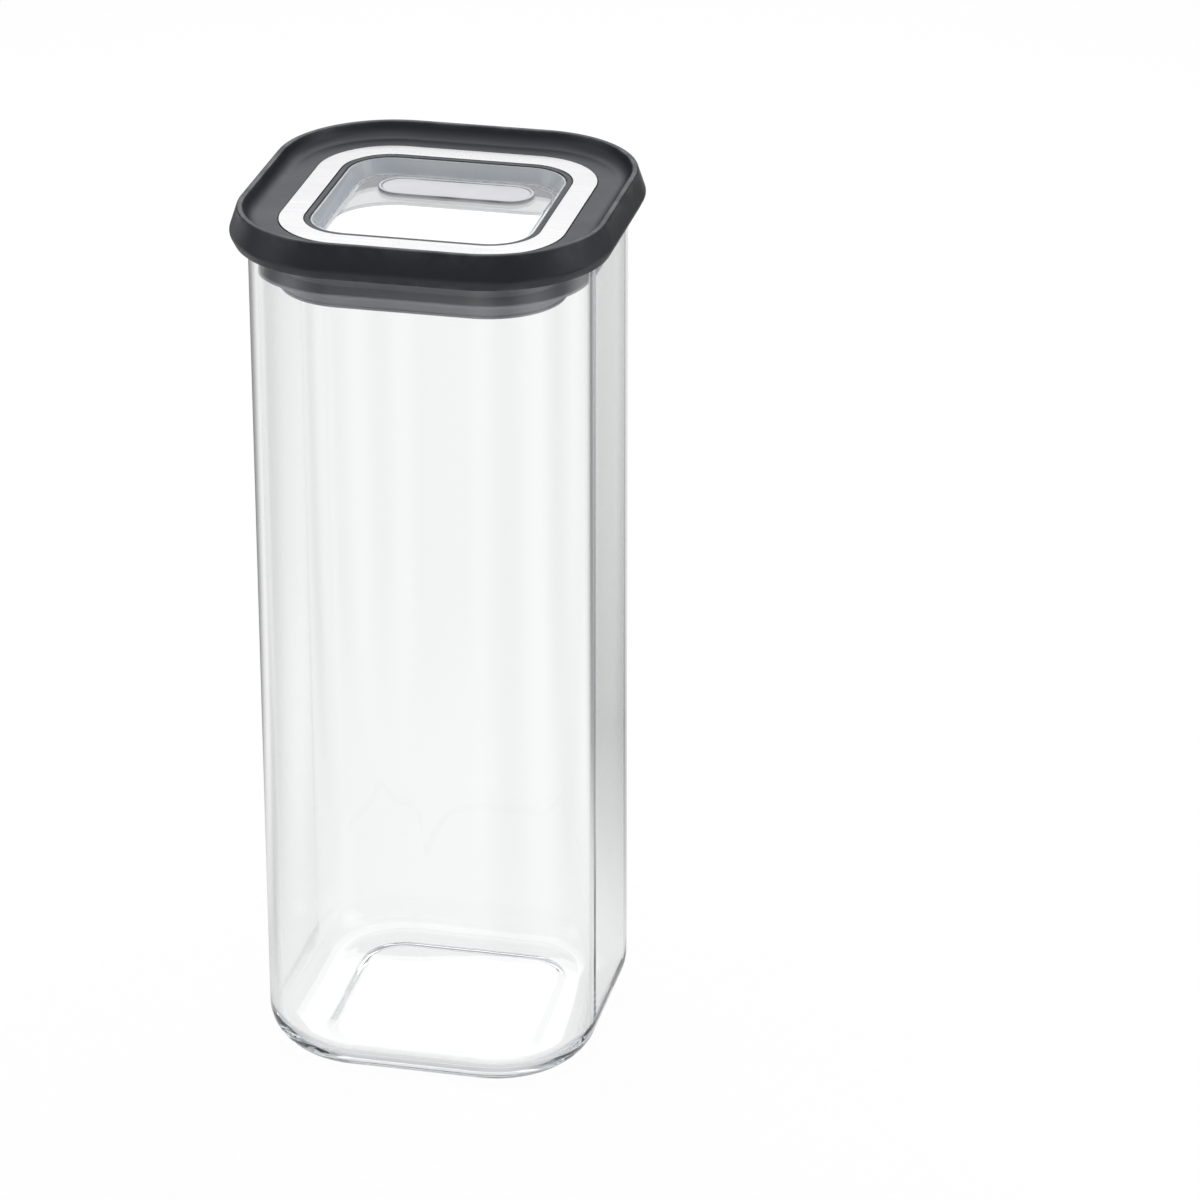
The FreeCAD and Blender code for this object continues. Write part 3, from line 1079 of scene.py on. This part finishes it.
@dataclass
class LidFrame:
    """Black moulded shell with a stacking dish, and the steel ring bonded into it.

    Widths are half widths, and heights are above the jar's foot, in millimetres.
    """

    hem_out: float = 53.7
    hem_in: float = 52.5
    hem: float = 255.3
    hem_round: float = 0.45
    skirt_out: float = 55.2
    skirt_widest: float = 258.3
    skirt_round: float = 1.5
    skirt_in: float = 50.9
    rim_out: float = 52.8
    rim_in: float = 51.2
    rim_round: float = 0.6
    top: float = 265.5
    dish_foot: float = 49.7
    dish: float = 261.2
    dish_round: float = 4.0
    seat: float = 260.6
    seat_out: float = 41.35
    seat_in: float = 33.95
    opening: float = 32.35
    recess: float = 33.2
    lip_low: float = 260.3
    underside: float = 259.0
    lip_round: float = 0.2
    ring_out: float = 41.2
    ring_in: float = 34.1
    ring_top: float = 261.4
    ring_round: float = 0.2
    ring_rub: float = 0.5
    shell_finish: Moulding = BLACK_PLASTIC
    ring_finish: Steel = STEEL_SHEET

    def shell_section(self) -> list[Corner]:
        """List the shell's corners from the outer hem, over the rim, to the inner hem.

        Returns:
            The corners in order.
        """
        return [
            Corner(self.hem_out, self.hem, self.hem_round, rubbed=True),
            Corner(self.skirt_out, self.skirt_widest, self.skirt_round),
            Corner(self.rim_out, self.top, self.rim_round, rubbed=True),
            Corner(self.rim_in, self.top, self.rim_round, rubbed=True),
            Corner(self.dish_foot, self.dish, self.dish_round),
            Corner(self.seat_out, self.dish, self.lip_round),
            Corner(self.seat_out, self.seat),
            Corner(self.seat_in, self.seat),
            Corner(self.seat_in, self.dish, self.lip_round),
            Corner(self.opening, self.dish, self.lip_round),
            Corner(self.opening, self.lip_low),
            Corner(self.recess, self.lip_low),
            Corner(self.recess, self.underside),
            Corner(self.skirt_in, self.underside, self.lip_round),
            Corner(self.hem_in, self.hem, self.hem_round),
        ]

    def ring_section(self) -> list[Corner]:
        """List the steel ring's corners.

        Returns:
            The corners in order.
        """
        low = self.seat + CONTACT_GAP
        return [
            Corner(self.ring_out, low),
            Corner(self.ring_out, self.ring_top, self.ring_round, rubbed=True),
            Corner(self.ring_in, self.ring_top, self.ring_round, rubbed=True),
            Corner(self.ring_in, low),
        ]

    def build(self) -> tuple[Piece, Piece]:
        """Model the shell and the ring.

        Returns:
            The shell and the ring.
        """
        shell = SectionModel("lid_frame", self.shell_section()).build()
        ring = SectionModel("trim_ring", self.ring_section()).build(self.ring_rub)
        return shell, ring

    def dress(self, shell: Piece, ring: Piece) -> None:
        """Finish the shell and the ring and set them in the frame."""
        place_piece(shell, self.shell_finish, Mover.LID, "lid_shell")
        place_piece(ring, self.ring_finish, Mover.LID, "steel_trim_ring")


@dataclass
class LidWindow:
    """Clear tray in the lid, its frosted writing field and the gasket round its flange.

    Widths are half widths, and heights are above the jar's foot, in millimetres.
    """

    out: float = 32.25
    mouth: float = 31.55
    ground: float = 29.15
    flange: float = 36.25
    panel: float = 24.0
    top: float = 261.0
    floor: float = 256.7
    low: float = 254.9
    flange_top: float = 258.2
    flange_low: float = 256.7
    wall_round: float = 1.6
    edge_round: float = 0.25
    low_round: float = 0.6
    field_length: float = 46.0
    field_width: float = 14.0
    field_middle: float = 19.5
    field_thickness: float = 0.6
    field_border: float = 1.0
    field_sink: float = 0.2
    field_softening: float = 0.12
    field_arc_steps: int = 18
    field_softening_steps: int = 3
    joint_tolerance: float = 0.05
    upright_limit: float = 0.5
    tray_finish: Clear = WINDOW_PLASTIC
    joint_finish: Moulding = JOINT_FROST
    field_finish: Frosted = FROSTED_FILM
    gasket_finish: Moulding = GASKET_RUBBER

    def tray_section(self) -> list[Corner]:
        """List the tray's corners from its floor, over its edge, to its underside.

        Returns:
            The corners in order.
        """
        return [
            Corner(self.panel, self.floor),
            Corner(self.ground, self.floor, self.wall_round),
            Corner(self.mouth, self.top, self.edge_round),
            Corner(self.out, self.top, self.edge_round),
            Corner(self.out, self.low, self.low_round),
            Corner(self.panel, self.low),
        ]

    def flange_section(self) -> list[Corner]:
        """List the corners of the flange that is welded round the tray.

        Returns:
            The corners in order.
        """
        start = self.out + CONTACT_GAP
        low = self.flange_low + CONTACT_GAP
        return [
            Corner(start, low),
            Corner(self.flange, low, self.edge_round),
            Corner(self.flange, self.flange_top, self.edge_round),
            Corner(start, self.flange_top),
        ]

    def build_tray(self) -> Piece:
        """Model the tray and its flange as one piece.

        Returns:
            The finished tray.
        """
        flange = SectionModel("window_flange", self.flange_section()).build()
        tray = SectionModel("window_tray", self.tray_section(), closed=False).build()
        bpy.ops.object.select_all(action="DESELECT")
        flange.select_set(True)
        tray.select_set(True)
        bpy.context.view_layer.objects.active = tray
        bpy.ops.object.join()
        return tray

    def frost_joint(self, tray: Piece) -> None:
        """Frost the faces of the tray that are welded into the lid.

        Args:
            tray: The tray, which already has its clear finish.
        """
        frosted = len(tray.data.materials)
        tray.data.materials.append(self.joint_finish.material())
        for face in tray.data.polygons:
            width = half_width(face.center)
            upright = abs(face.normal.z) < self.upright_limit
            welded = upright and width > self.out - self.joint_tolerance
            if welded or width > self.out + CONTACT_GAP / 2:
                face.material_index = frosted

    def build_field(self) -> Piece:
        """Model the writing field as a plate with round ends and a raised border.

        Returns:
            The finished plate.
        """
        base = self.floor + CONTACT_GAP
        centre = Vector((0.0, self.field_middle * MM, base * MM))
        piece = start_piece("writing_field", self.field_width * MM, centre)
        shift = (self.field_length - self.field_width) / 2 * MM
        for side in (1.0, -1.0):
            pick_points(piece, lambda point: point.x * side > 0.0)
            bpy.ops.transform.translate(value=(side * shift, 0.0, 0.0))
        bpy.ops.mesh.select_all(action="SELECT")
        round_points(self.field_width / 2 * MM, self.field_arc_steps)
        bpy.ops.mesh.select_all(action="SELECT")
        bpy.ops.mesh.remove_doubles(threshold=MERGE_DISTANCE)
        bpy.ops.mesh.select_all(action="SELECT")
        rise = (0.0, 0.0, self.field_thickness * MM)
        bpy.ops.mesh.extrude_region_move(TRANSFORM_OT_translate={"value": rise})
        bpy.ops.mesh.inset(thickness=self.field_border * MM, depth=0.0, use_even_offset=True)
        sink = (0.0, 0.0, -self.field_sink * MM)
        bpy.ops.mesh.extrude_region_move(TRANSFORM_OT_translate={"value": sink})
        self.soften_border(piece)
        close_piece(piece)
        return piece

    def soften_border(self, piece: Piece) -> None:
        """Bevel the two upper edges of the writing field's border.

        Args:
            piece: The writing field in edit mode.
        """
        level = (self.floor + CONTACT_GAP + self.field_thickness) * MM
        pick_points(piece, lambda point: abs(point.z - level) < PICK_DISTANCE)
        bpy.ops.mesh.select_mode(type="FACE")
        bpy.ops.mesh.region_to_loop()
        bpy.ops.mesh.bevel(
            offset=self.field_softening * MM,
            segments=self.field_softening_steps,
            affect="EDGES",
            clamp_overlap=False,
        )
        bpy.ops.mesh.select_mode(type="VERT")

    def build(self) -> tuple[Piece, Piece]:
        """Model the tray and the writing field.

        Returns:
            The tray and the writing field.
        """
        return self.build_tray(), self.build_field()

    def dress(self, tray: Piece, plate: Piece) -> None:
        """Finish the tray, the writing field and the gasket's own solid.

        Args:
            tray: The finished tray.
            plate: The finished writing field.
        """
        place_piece(tray, self.tray_finish, Mover.LID, "window_dish")
        self.frost_joint(tray)
        place_piece(plate, self.field_finish, Mover.LID, "label_field")
        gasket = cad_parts["window_gasket"]
        gasket.data.materials.clear()
        gasket.data.materials.append(self.gasket_finish.material())
        LOG.info("window_gasket: keeps its solid, new finish")


@dataclass
class LidPlug:
    """Milky collar welded under the shell, and the silicone seal hooked round it.

    Widths are half widths, and heights are above the jar's foot, in millimetres.
    """

    shelf_in: float = 32.95
    shelf_low: float = 255.1
    shelf: float = 256.7
    collar_in: float = 38.4
    collar_out: float = 40.0
    collar_low: float = 243.6
    collar_round: float = 0.5
    underside: float = 259.0
    seal_low: float = 242.5
    seal_in: float = 40.1
    bead_out: float = 41.4
    bead_top: float = 243.4
    sleeve_out: float = 41.05
    seal_round: float = 0.25
    bead_round: float = 0.4
    lip_out: float = 47.3
    lip_low: float = 247.8
    lip_top: float = 248.8
    lip_round: float = 0.4
    mouth: float = 258.0
    seal_flange: float = 49.4
    collar_finish: Moulding = MILKY_PLASTIC
    seal_finish: Moulding = SMOKE_SILICONE

    def collar_section(self) -> list[Corner]:
        """List the collar's corners from its shelf, round its low edge, to its top.

        Returns:
            The corners in order.
        """
        top = self.underside - CONTACT_GAP
        low = self.collar_low + CONTACT_GAP
        return [
            Corner(self.shelf_in, self.shelf_low, self.seal_round),
            Corner(self.collar_in, self.shelf_low, self.collar_round),
            Corner(self.collar_in, low, self.seal_round),
            Corner(self.collar_out, low, self.seal_round),
            Corner(self.collar_out, top),
            Corner(self.collar_in, top),
            Corner(self.collar_in, self.shelf),
            Corner(self.shelf_in, self.shelf, self.seal_round),
        ]

    def seal_section(self) -> list[Corner]:
        """List the seal's corners from its hook, over its bead and lip, to its flange.

        Returns:
            The corners in order.
        """
        rest = self.mouth + CONTACT_GAP
        top = self.underside - CONTACT_GAP
        return [
            Corner(self.collar_in, self.seal_low, self.bead_round),
            Corner(self.bead_out, self.seal_low, self.bead_round),
            Corner(self.bead_out, self.bead_top, self.seal_round),
            Corner(self.sleeve_out, self.bead_top),
            Corner(self.sleeve_out, self.lip_low, self.seal_round),
            Corner(self.lip_out, self.lip_low, self.lip_round),
            Corner(self.lip_out, self.lip_top, self.lip_round),
            Corner(self.sleeve_out, self.lip_top, self.seal_round),
            Corner(self.sleeve_out, rest, self.seal_round),
            Corner(self.seal_flange, rest, self.seal_round),
            Corner(self.seal_flange, top, self.seal_round),
            Corner(self.seal_in, top),
            Corner(self.seal_in, self.collar_low),
            Corner(self.collar_in, self.collar_low, self.seal_round),
        ]

    def build(self) -> tuple[Piece, Piece]:
        """Model the collar and the seal.

        Returns:
            The collar and the seal.
        """
        collar = SectionModel("plug_collar", self.collar_section()).build()
        seal = SectionModel("seal_sleeve", self.seal_section()).build()
        return collar, seal

    def dress(self, collar: Piece, seal: Piece) -> None:
        """Finish the collar and the seal and set them in the frame."""
        place_piece(collar, self.collar_finish, Mover.LID, "seal_collar")
        place_piece(seal, self.seal_finish, Mover.LID, "silicone_seal")


@dataclass(frozen=True)
class Softbox:
    """A large soft lamp.

    Attributes:
        name: The lamp's name.
        place: Its middle, in metres.
        width: Its size across, in metres.
        depth: Its size along, in metres.
        power: Its power in watts.
    """

    name: str
    place: Place
    width: float
    depth: float
    power: float

    def light(self, target: Vector) -> None:
        """Add the lamp and aim it.

        Args:
            target: The point that it faces.
        """
        lamp = bpy.data.lights.new(self.name, "AREA")
        lamp.shape = "RECTANGLE"
        lamp.size = self.width
        lamp.size_y = self.depth
        lamp.energy = self.power
        holder = bpy.data.objects.new(self.name, lamp)
        bpy.context.scene.collection.objects.link(holder)
        holder.location = self.place
        holder.rotation_euler = (target - Vector(self.place)).to_track_quat("-Z", "Y").to_euler()
        holder.visible_camera = False


@dataclass
class Studio:
    """Camera, pale floor, surroundings and soft lamps.

    Places are in metres, angles in degrees, and levels are shares of full white. The floor and the
    surroundings have levels of their own for the eye, for rays that pass straight through glass and
    for rays that glass has bounced. Light turns many times inside clear walls, so it is followed
    through glass_bounces bounces before it counts as black.
    """

    lens: float = 154.936
    sensor: float = 36.0
    camera_place: Place = (0.34475, -1.33956, 0.76780)
    camera_tilt: float = 65.437
    camera_turn: float = 12.542
    camera_sight: float = 100.0
    floor_side: float = 30.0
    floor_level: float = -0.0001
    floor_tone: float = 0.9
    floor_glow: float = 0.86
    eye_level: float = 1.03
    straight_level: float = 1.0
    bounced_near: float = 0.75
    bounced_dark: float = 0.12
    bounced_bright: float = 0.95
    bounced_turn: float = 1.0
    bounced_waves: float = 6.0
    near: float = 0.07
    far: float = 0.22
    horizon: float = 0.08
    horizon_through_glass: float = 0.55
    sky: float = 0.70
    sky_to_eye: float = 1.0
    sky_low: float = 0.12
    sky_high: float = 0.44
    glass_bounces: int = 32
    target: Place = (0.0, 0.0, 0.2)
    softboxes: list[Softbox] = field(
        default_factory=lambda: [
            Softbox("overhead", (0.05, 0.15, 1.45), 1.3, 1.3, 3.8),
            Softbox("behind", (-0.15, 0.78, 0.92), 0.9, 0.90, 3.3),
            Softbox("left", (-0.95, -0.35, 0.60), 0.5, 0.8, 1.1),
            Softbox("right", (0.98, 0.05, 0.55), 0.5, 0.8, 1.5),
        ]
    )

    def set_camera(self) -> None:
        """Add the camera at the photograph's viewing angle."""
        lens = bpy.data.cameras.new("camera")
        lens.lens = self.lens
        lens.sensor_width = self.sensor
        lens.clip_end = self.camera_sight
        holder = bpy.data.objects.new("camera", lens)
        bpy.context.scene.collection.objects.link(holder)
        holder.location = self.camera_place
        turn = (math.radians(self.camera_tilt), 0.0, math.radians(self.camera_turn))
        holder.rotation_euler = turn
        bpy.context.scene.camera = holder

    def lay_floor(self) -> None:
        """Add the floor: white to the eye and through glass, grey in what glass bounces."""
        bpy.ops.object.select_all(action="DESELECT")
        centre = (0.0, 0.0, self.floor_level)
        bpy.ops.mesh.primitive_plane_add(size=self.floor_side, location=centre)
        floor = bpy.context.active_object
        floor.name = "floor"
        material = bpy.data.materials.new("pale_floor")
        wiring = Wiring.start(material)
        path = wiring.add("ShaderNodeLightPath").outputs
        shine = wiring.sum("MAXIMUM", path["Is Glossy Ray"], path["Is Transmission Ray"])
        seen = wiring.sum("MAXIMUM", shine, path["Is Camera Ray"])
        glow = wiring.add("ShaderNodeEmission")
        wiring.join(self.floor_level_seen(wiring, path), glow.inputs["Strength"])
        paper = wiring.add("ShaderNodeBsdfDiffuse")
        paper.inputs["Color"].default_value = (*(self.floor_tone,) * 3, 1.0)
        shown = wiring.choose(self.floor_glow, paper.outputs["BSDF"], glow.outputs["Emission"])
        choice = wiring.choose(seen, paper.outputs["BSDF"], shown)
        output = wiring.add("ShaderNodeOutputMaterial")
        wiring.join(choice, output.inputs["Surface"])
        floor.data.materials.append(material)

    def floor_level_seen(self, wiring: Wiring, path: bpy.types.NodeOutputs) -> Socket:
        """Shade the floor for rays that glass has bounced, so that its edges read as grey.

        Args:
            wiring: The floor's wiring.
            path: Outputs of its Light Path node.

        Returns:
            The floor's brightness.
        """
        spot = wiring.spot()
        parts = wiring.split(spot)
        bearing = wiring.sum("ARCTAN2", parts["X"], parts["Y"])
        turned = wiring.sum("ADD", bearing, math.radians(self.bounced_turn))
        wave = wiring.sum("COSINE", wiring.sum("MULTIPLY", turned, self.bounced_waves))
        round_about = wiring.span(wave, WAVE_RANGE, (self.bounced_dark, self.bounced_bright))
        away = wiring.add("ShaderNodeVectorMath", operation="LENGTH")
        wiring.join(spot, away.inputs[0])
        distance = wiring.span(away.outputs["Value"], (self.near, self.far), UNIT)
        bounced = wiring.between(distance, self.bounced_near, round_about)
        turns = wiring.span(path["Glossy Depth"], UNIT, UNIT)
        through = wiring.between(turns, self.straight_level, bounced)
        return wiring.between(path["Is Camera Ray"], through, self.eye_level)

    def surround(self) -> None:
        """Set the surroundings: brighter overhead than at the horizon, white to the eye."""
        world = bpy.data.worlds.new("studio")
        bpy.context.scene.world = world
        wiring = Wiring.start(world)
        way = wiring.add("ShaderNodeTexCoord").outputs["Generated"]
        height = wiring.split(way)["Z"]
        path = wiring.add("ShaderNodeLightPath").outputs
        rise = wiring.span(
            height, (self.sky_low, self.sky_high), (self.horizon, self.sky), smooth=True
        )
        through = wiring.sum("MAXIMUM", rise, self.horizon_through_glass)
        level = wiring.between(path["Is Transmission Ray"], rise, through)
        level = wiring.between(path["Is Camera Ray"], level, self.sky_to_eye)
        back = wiring.add("ShaderNodeBackground")
        wiring.join(level, back.inputs["Strength"])
        output = wiring.add("ShaderNodeOutputWorld")
        wiring.join(back.outputs["Background"], output.inputs["Surface"])

    def build(self) -> None:
        """Set up the whole studio."""
        bpy.context.scene.view_settings.view_transform = "Standard"
        paths = bpy.context.scene.cycles
        paths.max_bounces = self.glass_bounces
        paths.glossy_bounces = self.glass_bounces
        paths.transmission_bounces = self.glass_bounces
        self.set_camera()
        self.lay_floor()
        self.surround()
        for softbox in self.softboxes:
            softbox.light(Vector(self.target))
        LOG.info("studio: %d softboxes", len(self.softboxes))


def main() -> None:
    """Build the canister's sub-assemblies in order, then the studio round them."""
    logging.basicConfig(level=logging.INFO, format="%(name)s %(message)s")
    jar = GlassJar()
    jar.dress(jar.build())
    for sub_assembly in (LidFrame(), LidWindow(), LidPlug()):
        sub_assembly.dress(*sub_assembly.build())
    Studio().build()


if __name__ == "__main__":
    main()
